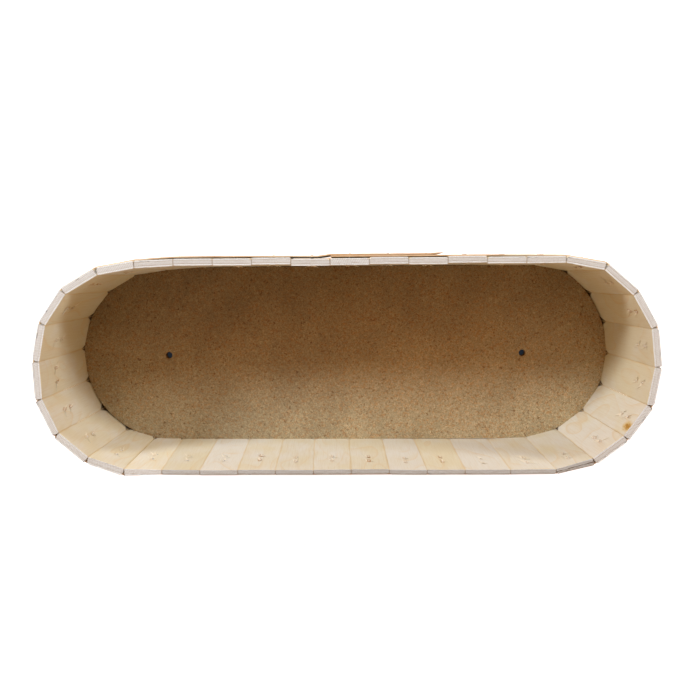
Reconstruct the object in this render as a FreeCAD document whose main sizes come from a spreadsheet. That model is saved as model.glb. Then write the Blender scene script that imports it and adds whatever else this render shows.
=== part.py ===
import FreeCAD, Part
import itertools
import math
import os

import Sketcher
from FreeCAD import Placement, Rotation, Vector

# A long oval tub of thin plywood staves stood on end round a fibreboard floor. A bent-wood band holds the
# staves together below the rim, and a narrower one holds them to the board at the foot. Every stave is
# stapled to both bands, and the foot staples run on into the board's edge.
#
# Frame: +X along the length, +Y to the back wall, where the bands lap, +Z up. The origin lies on the
# surface that the tub stands on, under the middle of the oval. Millimetres.

SIZES = {
    # staves
    "stave_thickness": 4.0,
    "stave_height": 90.0,
    "stave_arris": 0.8,
    "seam_gap": 0.1,
    "first_overhang": 6.0,
    "back_scatter": 0.6,
    "front_scatter": 0.2,
    # floor board
    "board_end_radius": 66.7,
    "board_straight": 266.0,
    "board_thickness": 6.0,
    "board_lift": 4.0,
    "board_gap": 0.3,
    "end_scatter": 0.6,
    "drain_diameter": 5.0,
    "drain_spacing": 270.0,
    # bands
    "band_thickness": 1.0,
    "band_gap": 0.1,
    "upper_band_width": 36.0,
    "upper_band_drop": 4.0,
    "foot_band_width": 14.0,
    "foot_band_lift": 1.0,
    "lap_gap": 0.1,
    "lap_ramp": 8.0,
    "lap_short": 2.5,
    "lap_hold": 1.0,
    "lap_spring": 0.8,
    "lap_round": 0.4,
    # staples
    "staple_crown": 11.4,
    "wire_width": 1.2,
    "wire_thickness": 0.7,
    "wire_bend": 0.5,
    "staple_clearance": 0.1,
    "staple_seat": 0.02,
    "upper_leg": 6.35,
    "lap_leg": 8.0,
    "foot_leg": 12.0,
    "staple_drop": 21.5,
    "staple_sway": 6.0,
    "staple_scatter": 1.5,
}

STAVES = 38
WIDE_STAVES = 2  # of these, the ones that close the ring at the front
WIDE_SHARE = 1.196  # how many of the others' pitches one of these takes up
LAP_STAVES = 3  # staves that the bands' ends lap over
SIDES = {"right": "back", "left": "front"}  # the side that follows each end, going counter-clockwise

# The tub is set up by hand. These shares say how unevenly, and are gone through in turn.
# How far out (+) or in (-) of even each corner round an end stands, as a share of the ends' scatter.
END_SET = {
    "right": (1.1, -1.2, 0.7, -0.6, 2.0, 2.4, 4.0, -0.5),
    "left": (2.2, -0.4, 0.2, -0.8, 0.2, 2.2, 1.1, -0.6),
}
# How far each stave inside a side leans out (+) or in (-) at the rim, as a share of that side's scatter.
SIDE_SET = (1.0, -0.2, 0.4, -0.4, -0.9, 0.8, 0.1, 0.3, 0.2)

# The upper staples climb and fall once on the way round, and sit highest at this share of the way. Their
# crowns stand upright along the staves, but for the one at the second share, which was driven in level.
STAPLE_CREST = 0.22
STAPLE_LEVEL = 0.64
STAPLE_WANDER = 2.4  # radians from one staple's scatter to the next one's

SAME = 1e-4  # lengths nearer than this are taken as one

doc = FreeCAD.newDocument("oval_stave_box")
sheet = doc.addObject("Spreadsheet::Sheet", "Sizes")
for row, (alias, value) in enumerate(SIZES.items(), 1):
    sheet.set(f"A{row}", alias)
    sheet.set(f"B{row}", str(value))
    sheet.setAlias(f"B{row}", alias)
doc.recompute()


def worked_out(expression):
    """The value of an expression over the sheet's cells."""
    return float(sheet.evalExpression(expression))


def size(alias):
    return worked_out(f"Sizes.{alias}")


# Dimensions that several pieces share, as expressions over the sheet
LEG_PITCH = "(Sizes.staple_crown - Sizes.wire_thickness)"
WAY_WIDTH = "(Sizes.wire_width + 2 * Sizes.staple_clearance)"
WAY_THICKNESS = "(Sizes.wire_thickness + 2 * Sizes.staple_clearance)"
FOOT_STAPLE_HEIGHT = "(Sizes.board_lift + Sizes.board_thickness / 2)"


# Sketches and features that several pieces share


def plane_sketch(body, role, name):
    """An empty sketch on one of the body's own origin planes."""
    sketch = body.newObject("Sketcher::SketchObject", name)
    plane = next(feature for feature in body.Origin.OriginFeatures if feature.Role == role)
    sketch.AttachmentSupport = [(plane, "")]
    sketch.MapMode = "FlatFace"
    return sketch


def bind(sketch, kind, elements, expression):
    """A dimension on the sketch, driven by an expression over the sheet."""
    index = sketch.addConstraint(Sketcher.Constraint(kind, *elements, worked_out(expression)))
    sketch.setExpression(f"Constraints[{index}]", expression)


def closed_lines(sketch, corners):
    """Join lines end to end round corners given as pairs of expressions, and give the first line's number."""
    points = [Vector(worked_out(across), worked_out(up), 0) for across, up in corners]
    first = sketch.GeometryCount
    for point, following in zip(points, points[1:] + points[:1]):
        sketch.addGeometry(Part.LineSegment(point, following), False)
    for index in range(len(points)):
        following = first + (index + 1) % len(points)
        sketch.addConstraint(Sketcher.Constraint("Coincident", first + index, 2, following, 1))
    return first


def hold_corner(sketch, line, across, up):
    """Hold a line's start at a place given by two expressions."""
    for kind, expression, axis in (("DistanceX", across, -2), ("DistanceY", up, -1)):
        if expression == "0":
            sketch.addConstraint(Sketcher.Constraint("PointOnObject", line, 1, axis))
        else:
            bind(sketch, kind, (-1, 1, line, 1), expression)


def outline(sketch, *corners):
    """A closed outline, every corner of which is held by its own pair of expressions."""
    first = closed_lines(sketch, corners)
    for index, (across, up) in enumerate(corners):
        hold_corner(sketch, first + index, across, up)


def rectangle(sketch, left, right, low, high):
    """A level rectangle between four expressions."""
    first = closed_lines(sketch, ((left, low), (right, low), (right, high), (left, high)))
    for side, direction in enumerate(("Horizontal", "Vertical", "Horizontal", "Vertical")):
        sketch.addConstraint(Sketcher.Constraint(direction, first + side))
    hold_corner(sketch, first, left, low)
    hold_corner(sketch, first + 2, right, high)


def rectangle_about(sketch, across, up, wide, tall):
    """A level rectangle of a width and a height about a middle, all given as expressions."""
    rectangle(
        sketch, f"{across} - {wide} / 2", f"{across} + {wide} / 2", f"{up} - {tall} / 2", f"{up} + {tall} / 2"
    )


def pad(body, sketch, name, expression, both_ways=False):
    feature = body.newObject("PartDesign::Pad", name)
    feature.Profile = sketch
    feature.setExpression("Length", expression)
    feature.Midplane = both_ways
    return feature


def pocket_through(body, sketch, name):
    feature = body.newObject("PartDesign::Pocket", name)
    feature.Profile = sketch
    feature.Type = "ThroughAll"
    feature.Midplane = True
    return feature


def ease_edges(body, base, kind, name, expression, wanted):
    """A fillet or a chamfer on those edges of the base feature whose middles pass the test."""
    base.recompute(True)
    names = [
        f"Edge{number}"
        for number, edge in enumerate(base.Shape.Edges, 1)
        if wanted(edge.valueAt((edge.FirstParameter + edge.LastParameter) / 2))
    ]
    feature = body.newObject(f"PartDesign::{kind}", name)
    feature.Base = (base, names)
    feature.setExpression({"Fillet": "Radius", "Chamfer": "Size"}[kind], expression)
    return feature


def near(one, other):
    return abs(one - other) < SAME


# Laying the staves round the board


class Stave:
    """Where one stave stands: its inner face runs from its foot corner along its heading, seen from above."""

    def __init__(self, number, corner, heading, width, run):
        self.number = number
        self.label = f"stave_{number:02d}"
        self.corner = corner
        self.heading = heading
        self.width = width
        self.run = run
        self.lean = 0.0

    def along(self):
        return Vector(math.cos(self.heading), math.sin(self.heading), 0)

    def outward(self):
        return Vector(math.sin(self.heading), -math.cos(self.heading), 0)

    def middle(self):
        return self.corner + self.along() * (self.width / 2)

    def turn(self):
        return Rotation(Vector(0, 0, 1), math.degrees(self.heading))

    def placement(self):
        return Placement(self.corner, self.turn() * Rotation(Vector(1, 0, 0), math.degrees(self.lean)))

    def outer_corners(self, height):
        place = self.placement()
        return [place.multVec(Vector(along, -size("stave_thickness"), height)) for along in (0, self.width)]


def round_the_end(centre, corner, pitch, radius):
    """The corner one pitch on from a stave's corner, counter-clockwise, at a radius from the end's centre."""
    start = corner - centre
    turn = math.acos((start.Length**2 + radius**2 - pitch**2) / (2 * start.Length * radius))
    way = math.atan2(start.y, start.x) + turn
    return centre + Vector(math.cos(way), math.sin(way), 0) * radius


def walk(pitch):
    """Each stave's inner foot corner, a pitch on from the last one, and the side that it stands along.

    The walk goes counter-clockwise from the front right. Round an end, the corners stand a hand-set distance
    off the board's curve, about as far as an even ring of staves that touch it would. Along a side, the
    staves lie flat against the straight edge.
    """
    reach = size("board_end_radius") + size("board_gap")
    half = size("board_straight") / 2
    even = math.hypot(reach, pitch / 2)
    corner = Vector(half + size("first_overhang"), -reach, 0)
    for end, way in (("right", 1), ("left", -1)):
        centre = Vector(way * half, 0, 0)
        shares = itertools.cycle(END_SET[end])
        while (corner.x - centre.x) * way > 0:
            yield corner, None
            following = round_the_end(centre, corner, pitch, even + next(shares) * size("end_scatter"))
            if (following.x - centre.x) * way < 0:
                side = way * reach
                following = Vector(corner.x - way * math.sqrt(pitch**2 - (side - corner.y) ** 2), side, 0)
            corner = following
        while (corner.x + centre.x) * way > 0:
            yield corner, SIDES[end]
            corner = corner - Vector(way * pitch, 0, 0)


def lay_staves():
    """Lay the staves at the pitch that closes the ring, with their share of the front for the wide ones."""
    home = size("board_straight") / 2 + size("first_overhang")
    round_length = 2 * size("board_straight") + 2 * math.pi * (size("board_end_radius") + size("board_gap"))
    low, high = round_length / (STAVES + WIDE_STAVES), round_length / (STAVES - WIDE_STAVES)
    while high - low > SAME / STAVES:
        pitch = (low + high) / 2
        steps = list(itertools.islice(walk(pitch), STAVES - WIDE_STAVES + 1))
        corner = steps[-1][0]
        wide = (home - corner.x) / WIDE_STAVES
        if wide > WIDE_SHARE * pitch:
            low = pitch
        else:
            high = pitch
    steps += [(corner + Vector(number * wide, 0, 0), SIDES["left"]) for number in range(1, WIDE_STAVES + 1)]
    laid = []
    for number, ((start, run), (end, _)) in enumerate(zip(steps, steps[1:]), 1):
        step = end - start
        heading = math.atan2(step.y, step.x)
        laid.append(Stave(number, start, heading, step.Length - size("seam_gap"), run))
    return laid


def inside_runs(staves):
    """The staves of each side that stand between two others of that side, in order."""
    inside = {"back": [], "front": []}
    for before, stave, after in zip([staves[-1]] + staves[:-1], staves, staves[1:] + [staves[0]]):
        if stave.run and before.run == stave.run == after.run:
            inside[stave.run].append(stave)
    return inside


staves = lay_staves()
inside = inside_runs(staves)

# Each stave inside a side stands with its foot on the board and leans a little in or out.
for run, run_staves in inside.items():
    for index, stave in enumerate(run_staves):
        share = SIDE_SET[index % len(SIDE_SET)]
        stave.lean = math.atan(size(f"{run}_scatter") * share / size("stave_height"))

# The bands' ends lap over the back stave nearest the middle and those next to it towards +X.
middle_stave = min(inside["back"], key=lambda stave: abs(stave.middle().x))
lap_first = inside["back"].index(middle_stave) + 1 - LAP_STAVES
lapped = inside["back"][lap_first : lap_first + LAP_STAVES]
LAP_START = f"{middle_stave.corner.x - middle_stave.width:.9f}"
LAP_END = f"({lapped[0].corner.x:.9f} - Sizes.lap_short)"

crossed = staves[round(STAPLE_LEVEL * STAVES) - 1]

worked_out_widths = (("stave_width", staves[0].width), ("wide_stave_width", staves[-1].width))
for row, (alias, width) in enumerate(worked_out_widths, len(SIZES) + 1):
    sheet.set(f"A{row}", alias)
    sheet.set(f"B{row}", str(width))
    sheet.setAlias(f"B{row}", alias)
doc.recompute()


def width_cell(stave):
    return "Sizes.wide_stave_width" if stave.number > STAVES - WIDE_STAVES else "Sizes.stave_width"


def upper_staple_height(stave):
    """The height of a stave's upper staple, as an expression. Driven by hand, no two sit alike."""
    way = 2 * math.pi * (stave.number / STAVES - STAPLE_CREST)
    sway = f"Sizes.staple_sway * {math.cos(way):.4f}"
    scatter = f"Sizes.staple_scatter * {math.sin(STAPLE_WANDER * stave.number):.4f}"
    return f"(Sizes.stave_height - Sizes.staple_drop + {sway} + {scatter})"


def leg_ways(sketch, across, up, level):
    """The ways of a staple's two legs: side by side for a level crown, and otherwise one above the other."""
    for sign in "-+":
        half_pitch = f" {sign} {LEG_PITCH} / 2"
        if level:
            rectangle_about(sketch, across + half_pitch, up, WAY_THICKNESS, WAY_WIDTH)
        else:
            rectangle_about(sketch, across, up + half_pitch, WAY_WIDTH, WAY_THICKNESS)


def make_stave(stave):
    """A flat stave with its outer arrises eased and the ways that its staples' legs cut through it."""
    name = stave.label
    width = width_cell(stave)
    body = doc.addObject("PartDesign::Body", name)
    plan = plane_sketch(body, "XY_Plane", f"{name}_plan")
    rectangle(plan, "0", width, "-Sizes.stave_thickness", "0")
    blank = pad(body, plan, f"{name}_blank", "Sizes.stave_height")
    outer = -size("stave_thickness")
    half_height = size("stave_height") / 2

    def upright_and_outer(middle):
        return near(middle.y, outer) and near(middle.z, half_height)

    ease_edges(body, blank, "Chamfer", f"{name}_arris", "Sizes.stave_arris", upright_and_outer)
    ways = plane_sketch(body, "XZ_Plane", f"{name}_ways")
    leg_ways(ways, f"{width} / 2", upper_staple_height(stave), stave is crossed)
    leg_ways(ways, f"{width} / 2", FOOT_STAPLE_HEIGHT, True)
    pocket_through(body, ways, f"{name}_leg_ways")
    body.Placement = stave.placement()
    return body


# The floor board


def make_board(ways):
    """The long oval board, with a drain hole near each end and blind ways for the foot staples' tips."""
    body = doc.addObject("PartDesign::Body", "board_blank")
    plan = plane_sketch(body, "XY_Plane", "board_plan")
    half = size("board_straight") / 2
    radius = size("board_end_radius")
    quarter = math.pi / 2
    for sign in (1, -1):
        start = Vector(-sign * half, -sign * radius, 0)
        circle = Part.Circle(Vector(sign * half, 0, 0), Vector(0, 0, 1), radius)
        plan.addGeometry(Part.LineSegment(start, start + Vector(2 * sign * half, 0, 0)), False)
        plan.addGeometry(Part.ArcOfCircle(circle, -sign * quarter, (2 - sign) * quarter), False)
    front, right, back, left = range(4)
    joins = ((front, 2, right, 1), (back, 1, right, 2), (back, 2, left, 1), (front, 1, left, 2))
    for join in joins:
        plan.addConstraint(Sketcher.Constraint("Tangent", *join))
    plan.addConstraint(Sketcher.Constraint("Horizontal", front))
    plan.addConstraint(Sketcher.Constraint("PointOnObject", left, 3, -1))
    bind(plan, "DistanceX", (-1, 1, right, 3), "Sizes.board_straight / 2")
    bind(plan, "DistanceX", (left, 3, -1, 1), "Sizes.board_straight / 2")
    bind(plan, "Radius", (right,), "Sizes.board_end_radius")
    pad(body, plan, "board_slab", "Sizes.board_thickness")
    drains = plane_sketch(body, "XY_Plane", "board_drains")
    for index, sign in enumerate((-1, 1)):
        centre = Vector(sign * size("drain_spacing") / 2, 0, 0)
        drains.addGeometry(Part.Circle(centre, Vector(0, 0, 1), size("drain_diameter") / 2), False)
        drains.addConstraint(Sketcher.Constraint("PointOnObject", index, 3, -1))
        bind(drains, "Diameter", (index,), "Sizes.drain_diameter")
        bind(drains, "DistanceX", (-1, 1, index, 3), f"{sign} * Sizes.drain_spacing / 2")
    pocket_through(body, drains, "board_drain_holes")
    body.setExpression(".Placement.Base.z", "Sizes.board_lift")
    return cut("base_board", body, ways)


# The bands


def cut(label, base, tool):
    feature = doc.addObject("Part::Cut", label)
    feature.Base = base
    feature.Tool = tool
    return feature


def group(label, members):
    feature = doc.addObject("Part::Compound", label)
    feature.Links = members
    return feature


def copies(form, placements):
    """Links to one form, each at its own placement."""
    links = []
    for number, placement in enumerate(placements, 1):
        link = doc.addObject("App::Link", f"{form.Name}_{number}")
        link.LinkedObject = form
        link.Placement = placement
        links.append(link)
    return links


def convex_outline(points, slack):
    """The convex outline round some points in plan, counter-clockwise, past corners that stand out by less
    than the slack."""
    spread = sorted({(point.x, point.y) for point in points})

    def half_outline(ordered):
        kept = []
        for x, y in ordered:
            while len(kept) > 1:
                (x0, y0), (x1, y1) = kept[-2:]
                turn = (x1 - x0) * (y - y0) - (y1 - y0) * (x - x0)
                if turn > slack * math.hypot(x - x0, y - y0):
                    break
                kept.pop()
            kept.append((x, y))
        return kept[:-1]

    return [Vector(x, y, 0) for x, y in half_outline(spread) + half_outline(spread[::-1])]


class Band:
    """A thin band bent round the staves, its ends lapped outside the staves in the middle of the back."""

    def __init__(self, label, foot, wide, crown):
        self.label = label
        self.foot = foot
        self.wide = wide
        self.crown = crown  # how wide its staples' crowns are along the band
        low = worked_out(foot)
        high = low + worked_out(wide)
        corners = {stave: stave.outer_corners(low) + stave.outer_corners(high) for stave in staves}
        self.sides = {
            run: max(abs(corner.y) for stave in inside[run] for corner in corners[stave]) for run in inside
        }
        for run, sign in (("back", 1), ("front", -1)):
            for stave in inside[run]:
                for corner in corners[stave]:
                    corner.y = sign * self.sides[run]
        slack = max(size("band_gap") / 2, SAME)
        self.path = convex_outline([corner for some in corners.values() for corner in some], slack)

    def seat(self, stave, level):
        """How far out of a stave's inner face a staple's crown sits on the band."""
        out = size("band_gap") + size("band_thickness")
        if stave in lapped:
            out += size("band_thickness") + size("lap_gap")
        reach = size("staple_crown") / 2 if level else size("wire_width") / 2
        seats = []
        for along in (-reach, 0, reach):
            start = stave.middle() + stave.along() * along
            distances = []
            for one, two in zip(self.path, self.path[1:] + self.path[:1]):
                edge = (two - one).normalize()
                face = Vector(edge.y, -edge.x, 0)
                if face.dot(stave.outward()) > 0:
                    distances.append(((one - start).dot(face) + out) / face.dot(stave.outward()))
            seats.append(min(distances))
        return max(seats) + size("staple_seat")

    def lap(self):
        """The band's outer end: it climbs over the inner end, lies along it and springs away a little."""
        name = f"{self.label}_lap"
        rise = f"{self.sides['back']:.9f} + Sizes.band_gap"
        over = f"{rise} + Sizes.band_thickness + Sizes.lap_gap"
        start = f"{LAP_START} - Sizes.lap_ramp"
        spring = f"{lapped[0].middle().x:.9f} + {self.crown} / 2 + Sizes.lap_hold"
        inner = (
            (start, rise),
            (LAP_START, over),
            (spring, over),
            (LAP_END, f"{over} + Sizes.lap_spring"),
        )
        outer = [(across, f"{up} + Sizes.band_thickness") for across, up in reversed(inner)]
        body = doc.addObject("PartDesign::Body", name)
        plan = plane_sketch(body, "XY_Plane", f"{name}_plan")
        outline(plan, *inner, *outer)
        strip = pad(body, plan, f"{name}_strip", self.wide)
        end = worked_out(LAP_END)
        half_width = worked_out(self.wide) / 2

        def upright_at_end(middle):
            return near(middle.x, end) and near(middle.z, half_width)

        ease_edges(body, strip, "Fillet", f"{name}_end", "Sizes.lap_round", upright_at_end)
        return body

    def make(self, ways):
        """The bent ring, with its lap and the ways of the staples' legs."""
        path = doc.addObject("Part::Polygon", f"{self.label}_path")
        path.Nodes = self.path
        path.Close = True
        faces = []
        for name, join, out in (("outer", "Arc", "Sizes.band_thickness"), ("inner", "Intersection", "0")):
            face = doc.addObject("Part::Offset2D", f"{self.label}_{name}")
            face.Source = path
            face.Join = join
            face.setExpression("Value", f"Sizes.band_gap + {out}")
            faces.append(face)
        section = doc.addObject("Part::Face", f"{self.label}_section")
        section.Sources = faces
        section.FaceMakerClass = "Part::FaceMakerBullseye"
        ring = doc.addObject("Part::Extrusion", f"{self.label}_ring")
        ring.Base = section
        ring.DirMode = "Custom"
        ring.Dir = Vector(0, 0, 1)
        ring.Solid = True
        ring.setExpression("LengthFwd", self.wide)
        opening = doc.addObject("Part::Box", f"{self.label}_opening")
        opening.setExpression("Length", "Sizes.lap_ramp + Sizes.lap_gap")
        opening.setExpression("Width", "Sizes.band_thickness + 2 * Sizes.band_gap")
        opening.setExpression("Height", self.wide)
        opening.setExpression(".Placement.Base.x", f"{LAP_START} - Sizes.lap_ramp")
        opening.setExpression(".Placement.Base.y", f"{self.sides['back']:.9f}")
        band = doc.addObject("Part::Fuse", f"{self.label}_bent")
        band.Base = cut(f"{self.label}_open_ring", ring, opening)
        band.Tool = self.lap()
        band.setExpression(".Placement.Base.z", self.foot)
        return cut(self.label, band, ways)


# The staples


def staple_form(name, leg):
    """A U-shaped staple on its side: crown along X, legs along +Y with chisel tips, seat at the origin."""
    half = "Sizes.staple_crown / 2"
    within = f"{half} - Sizes.wire_thickness"
    tip = f"{leg} - Sizes.wire_thickness"
    shoulder = f"{leg} - 2 * Sizes.wire_thickness"
    body = doc.addObject("PartDesign::Body", name)
    plan = plane_sketch(body, "XY_Plane", f"{name}_plan")
    right = ((half, shoulder), (within, tip), (within, "0"))
    left = [(f"-({across})", up) for across, up in reversed(right)]
    crown = "-Sizes.wire_thickness"
    outline(plan, (f"-{half}", crown), (half, crown), *right, *left)
    wire = pad(body, plan, f"{name}_wire", "Sizes.wire_width", both_ways=True)
    outer = -size("wire_thickness")
    far = size("staple_crown") / 2

    def outside_a_bend(middle):
        return near(middle.y, outer) and near(abs(middle.x), far)

    ease_edges(body, wire, "Chamfer", f"{name}_bends", "Sizes.wire_bend", outside_a_bend)
    return body


def leg_way_form(name, leg):
    """Two bars that fill the ways of a staple's legs, from level with its crown to just past its tips."""
    body = doc.addObject("PartDesign::Body", name)
    plan = plane_sketch(body, "XY_Plane", f"{name}_plan")
    deep = f"{leg} - Sizes.wire_thickness + Sizes.staple_clearance"
    for sign in "-+":
        middle = f"{sign} {LEG_PITCH} / 2"
        edges = (f"{middle} - {WAY_THICKNESS} / 2", f"{middle} + {WAY_THICKNESS} / 2")
        rectangle(plan, *edges, "-Sizes.wire_thickness", deep)
    pad(body, plan, f"{name}_bars", WAY_WIDTH, both_ways=True)
    return body


UPRIGHT = Rotation(Vector(0, 1, 0), -90)
LEVEL = Rotation()


def staple_placements(band, band_staves, height, level):
    """Where the crown of each stave's staple sits on a band."""
    placements = []
    for stave in band_staves:
        lies = level or stave is crossed
        seat = stave.middle() + stave.outward() * band.seat(stave, lies)
        seat.z = worked_out(height(stave))
        placements.append(Placement(seat, stave.turn() * (LEVEL if lies else UPRIGHT)))
    return placements


UPPER_BAND_FOOT = "(Sizes.stave_height - Sizes.upper_band_drop - Sizes.upper_band_width)"
upper_band = Band("upper_band", UPPER_BAND_FOOT, "Sizes.upper_band_width", "Sizes.wire_width")
foot_band = Band("foot_band", "Sizes.foot_band_lift", "Sizes.foot_band_width", "Sizes.staple_crown")

plain = [stave for stave in staves if stave not in lapped]
upper_places = staple_placements(upper_band, plain, upper_staple_height, False)
lap_places = staple_placements(upper_band, lapped, upper_staple_height, False)
foot_places = staple_placements(foot_band, staves, lambda stave: FOOT_STAPLE_HEIGHT, True)

upper_form = staple_form("upper_staple_form", "Sizes.upper_leg")
lap_form = staple_form("lap_staple_form", "Sizes.lap_leg")
foot_form = staple_form("foot_staple_form", "Sizes.foot_leg")
upper_way_form = leg_way_form("upper_way_form", "Sizes.lap_leg")
foot_way_form = leg_way_form("foot_way_form", "Sizes.foot_leg")
doc.recompute()

upper_ways = group("upper_leg_ways", copies(upper_way_form, upper_places + lap_places))
foot_ways = group("foot_leg_ways", copies(foot_way_form, foot_places))

pieces = [make_stave(stave) for stave in staves]
pieces += [
    make_board(foot_ways),
    upper_band.make(upper_ways),
    foot_band.make(foot_ways),
    group("upper_staples", copies(upper_form, upper_places)),
    group("lap_staples", copies(lap_form, lap_places)),
    group("foot_staples", copies(foot_form, foot_places)),
]
doc.recompute()

for item in doc.Objects:
    if {"Invalid", "Error"} & set(item.State):
        raise RuntimeError(f"{item.Name} failed: {item.State}")
for piece in pieces:
    if piece.Shape.isNull() or not piece.Shape.isValid():
        raise RuntimeError(f"{piece.Label} has no valid shape")

os.makedirs("parts", exist_ok=True)
for piece in pieces:
    piece.Shape.exportStep(f"parts/{piece.Label}.step")
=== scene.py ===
import math

import bmesh
import bpy
from bpy.props import FloatProperty, FloatVectorProperty, PointerProperty
from bpy.types import Operator, Panel, PropertyGroup
from mathutils import Matrix, Vector, noise


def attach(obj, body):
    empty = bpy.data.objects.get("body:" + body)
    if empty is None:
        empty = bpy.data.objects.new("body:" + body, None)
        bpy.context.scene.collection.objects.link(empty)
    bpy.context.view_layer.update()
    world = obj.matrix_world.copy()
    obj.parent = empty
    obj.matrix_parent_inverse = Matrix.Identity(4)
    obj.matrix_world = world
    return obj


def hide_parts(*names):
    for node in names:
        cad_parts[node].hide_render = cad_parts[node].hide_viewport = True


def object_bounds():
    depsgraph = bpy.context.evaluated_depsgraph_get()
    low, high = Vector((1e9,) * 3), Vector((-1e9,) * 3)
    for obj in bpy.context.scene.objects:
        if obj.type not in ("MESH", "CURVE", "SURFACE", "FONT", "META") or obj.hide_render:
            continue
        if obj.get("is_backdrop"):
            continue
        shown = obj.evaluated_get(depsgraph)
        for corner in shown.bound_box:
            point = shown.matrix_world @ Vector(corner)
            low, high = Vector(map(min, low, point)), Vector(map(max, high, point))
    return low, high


bl_info = {
    "name": "Oval stave box",
    "version": (1, 0, 0),
    "blender": (4, 5, 0),
    "location": "3D View > Sidebar > Oval box",
    "description": "Dresses an oval tub of plywood staves with its fibreboard floor, bands and staples",
    "category": "Object",
}

# The tub is a ring of flat plywood staves, each stapled to a bent-wood band below the rim and to another at
# the foot. Lengths are in metres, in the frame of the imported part, unless a comment says millimetres.

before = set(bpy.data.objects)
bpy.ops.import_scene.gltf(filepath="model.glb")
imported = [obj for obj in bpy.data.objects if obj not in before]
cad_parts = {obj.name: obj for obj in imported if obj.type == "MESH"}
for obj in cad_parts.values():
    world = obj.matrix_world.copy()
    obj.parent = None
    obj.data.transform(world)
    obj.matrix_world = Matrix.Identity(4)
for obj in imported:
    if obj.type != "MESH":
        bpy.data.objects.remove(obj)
cad_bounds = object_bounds()

MM = 0.001
SAME = 1e-7  # lengths nearer than this are taken as one
TORN_ROOT = -0.15 * MM  # how deep in a stave's face its torn wood starts
BESIDE_THE_WALL = 0.8  # what lies farther out than this share of the board's half width goes with the wall
LAMP_DISTANCE = 1.5
LAMP_AIM = Vector((0.0, 0.0, 0.05))
STAVE_NODES = sorted(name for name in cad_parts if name.startswith("stave_"))
BAND_NODES = ("upper_band", "foot_band")
UPPER_STAPLE_NODES = ("upper_staples", "lap_staples")
STAPLE_NODES = (*UPPER_STAPLE_NODES, "foot_staples")

# Staves and the seams before them share their numbers.
ROUND = (*range(2, 9), *range(20, 29))
FRONT = (1, *range(29, 39))

# What differs from stave to stave, by number. A stave that isn't named in a table is left to chance.
# PALE: how pale the face is. STAINED: how stained the wood is round the staple's tips. NOTCHED: how badly
# the outer corners are broken at the rim, shown as painted shade in their depth. COMBED: the ends show the
# saw's
# comb marks. SPLIT: an end has come apart at its glue line, drawn with painted shade. PITCH_POCKET: where a
# pitch pocket is, in millimetres in the stave's own frame.
PALE = {
    1: 0.55, 2: 0.8, 3: 0.6, 4: 0.15, 5: 0.2, 6: 0.0, 22: 0.0, 23: 0.1, 24: 0.3, 25: 0.45, 26: 0.3,
    27: 0.35, 28: 0.4, 29: 0.25, 30: 0.95, 31: 0.55, 32: 0.5, 33: 0.5, 34: 0.3, 35: 0.7, 36: 0.2, 37: 0.95,
    38: 0.6,
}
STAINED = {
    7: 0.3, 8: 1.0, 20: 0.9, 21: 0.9, 24: 0.6, 25: 0.65, 29: 0.15, 30: 0.1, 32: 0.3, 33: 0.3, 34: 0.9,
    35: 0.35, 36: 0.6,
}
NOTCHED = {
    1: 0.8, 2: 0.5, 3: 1.2, 4: 1.1, 5: 0.9, 6: 0.5, 7: 0.3, 8: 0.1, 20: 0.1, 21: 0.2, 22: 0.3, 23: 0.6,
    24: 1.0, 25: 1.2, 26: 1.3, 27: 1.3, 28: 1.1, 29: 0.7, 30: 0.9, 31: 1.0, 32: 0.9, 33: 0.5, 34: 0.6,
    35: 0.4, 36: 0.9, 37: 0.8, 38: 0.9,
}
COMBED = (*range(3, 7), 14, *range(20, 31))
SPLIT = (1,)
PITCH_POCKET = {3: (6.5, 0.0, 86.5)}
NO_POCKET = (0.0, 0.0, -1000.0)

# The wall was set up by hand. ASKEW: how far, in millimetres, a seam has slid along at the foot. SETTLED: how
# far in it stands at the foot and at the rim, in millimetres.
ASKEW = {
    28: -3.0, 29: -6.2, 30: -4.2, 31: -4.4, 32: -2.8, 33: -4.0, 34: -2.2, 35: -1.4, 36: -2.2, 37: 0.6,
    38: 0.5,
}
SETTLED = {
    1: (1.2, -0.6), 2: (2.3, 1.4), 3: (1.2, 0.2), 4: (1.6, 0.0), 5: (2.0, 0.0), 6: (2.0, 0.2), 7: (0.6, 0.0),
    8: (0.2, 0.0), 9: (0.9, 0.2), 10: (0.5, 0.0), 19: (0.4, 0.0), 20: (2.3, 1.4), 21: (3.5, 3.4),
    22: (1.2, 0.9), 23: (0.3, 2.0), 24: (0.5, 2.8), 25: (0.7, 1.6), 26: (0.8, 1.4), 27: (1.0, 1.2),
    28: (2.0, 1.1), 29: (1.7, 0.8), 30: (1.5, 0.4), 31: (1.3, 0.3), 32: (1.1, 0.2), 33: (0.9, 0.0),
    34: (0.8, 0.0), 35: (0.6, 0.0), 36: (0.5, -0.4), 37: (0.3, -0.5), 38: (0.1, -0.7),
}


def rim_spread(number):
    """How much thicker, in millimetres, the wall is at the rim than at the foot."""
    if number in ROUND:
        return 1.0
    return -0.5 if number in FRONT else 0.4


def length(name, description, default):
    return FloatProperty(
        name=name, description=description, default=default, unit="LENGTH", subtype="DISTANCE", precision=5
    )


def power(name, description, default):
    return FloatProperty(name=name, description=description, default=default, min=0, subtype="POWER")


def share(name, description, default):
    return FloatProperty(name=name, description=description, default=default, min=0, max=1, subtype="FACTOR")


def colour(name, description, default):
    return FloatVectorProperty(
        name=name, description=description, default=default, size=3, min=0, max=1, subtype="COLOR"
    )


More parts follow.
